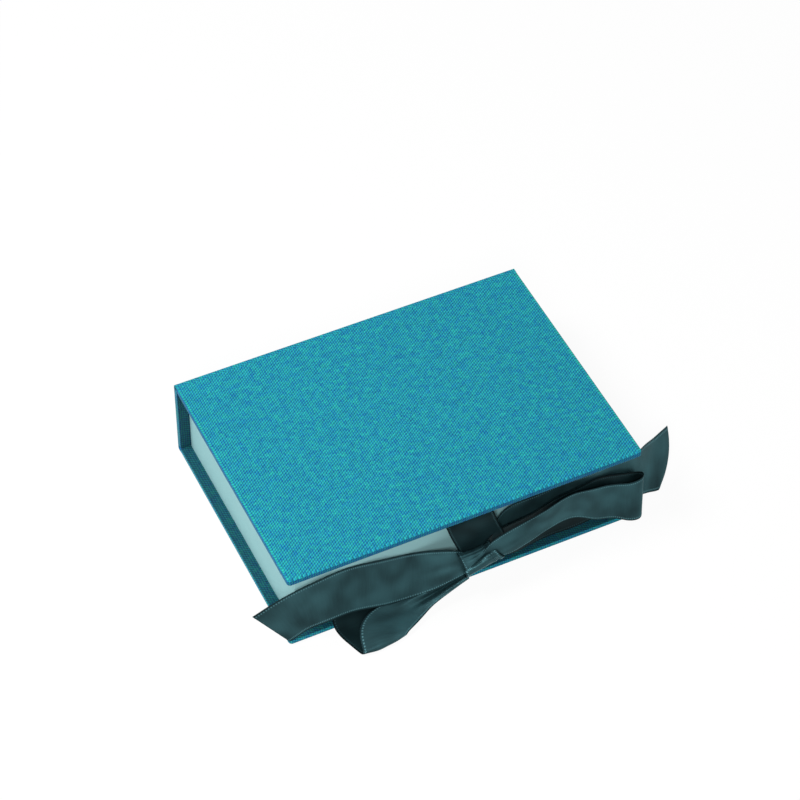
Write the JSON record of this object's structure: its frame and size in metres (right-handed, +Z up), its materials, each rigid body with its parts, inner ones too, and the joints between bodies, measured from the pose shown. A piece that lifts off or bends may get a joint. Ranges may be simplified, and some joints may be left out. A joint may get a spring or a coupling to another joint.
{
  "type": "book-style gift box with ribbon tie",
  "caption": "Cloth-covered gift box that opens like a book: a hinged lid and spine around a paper-covered tray, tied shut with a satin ribbon bow.",
  "frame": {"origin": "on the ground under the middle of the closed case: halfway along its length, and halfway between its front edge and the back of its spine", "axes": "+X along the spine, to the right when the ribbon faces the viewer; +Y from the ribbon towards the spine; +Z up"},
  "size_m": [0.1907, 0.1269, 0.0384],
  "materials": {
    "book_cloth": "matt two-tone plain weave, green and blue threads",
    "inner_cloth": "matt two-tone plain weave, as the outside",
    "greyboard": "matt pulp board",
    "tray_paper": "matt dyed paper",
    "satin_ribbon": "double-face satin with stitched selvedges"
  },
  "bodies": {
    "box": {"spine_board": "greyboard", "base_board": "greyboard", "spine_cloth": "book_cloth", "base_cloth": "inner_cloth", "lid_joint_cloth": "book_cloth", "base_joint_cloth": "book_cloth", "inner_joint_strip": "inner_cloth", "spine_lining": "inner_cloth", "tray_floor": "greyboard", "tray_left_wall": "greyboard", "tray_right_wall": "greyboard", "tray_front_wall": "greyboard", "tray_back_wall": "greyboard", "tray_wrap": "tray_paper", "tray_lining": "tray_paper", "base_ribbon": "satin_ribbon", "bow_knot": "satin_ribbon", "left_loop": "satin_ribbon", "right_loop": "satin_ribbon", "left_tail": "satin_ribbon", "right_tail": "satin_ribbon"},
    "lid": {"lid_board": "greyboard", "lid_cloth": "book_cloth", "lid_lining": "tray_paper", "lid_ribbon": "satin_ribbon"}
  },
  "joints": [
    {"name": "lid_hinge", "type": "hinge", "parent": "box", "child": "lid", "pos_m": [0, 0.0535, 0.0374], "axis": [-1, 0, 0], "range_deg": [0, 199], "deforming": ["lid_joint_cloth", "inner_joint_strip"]}
  ]
}
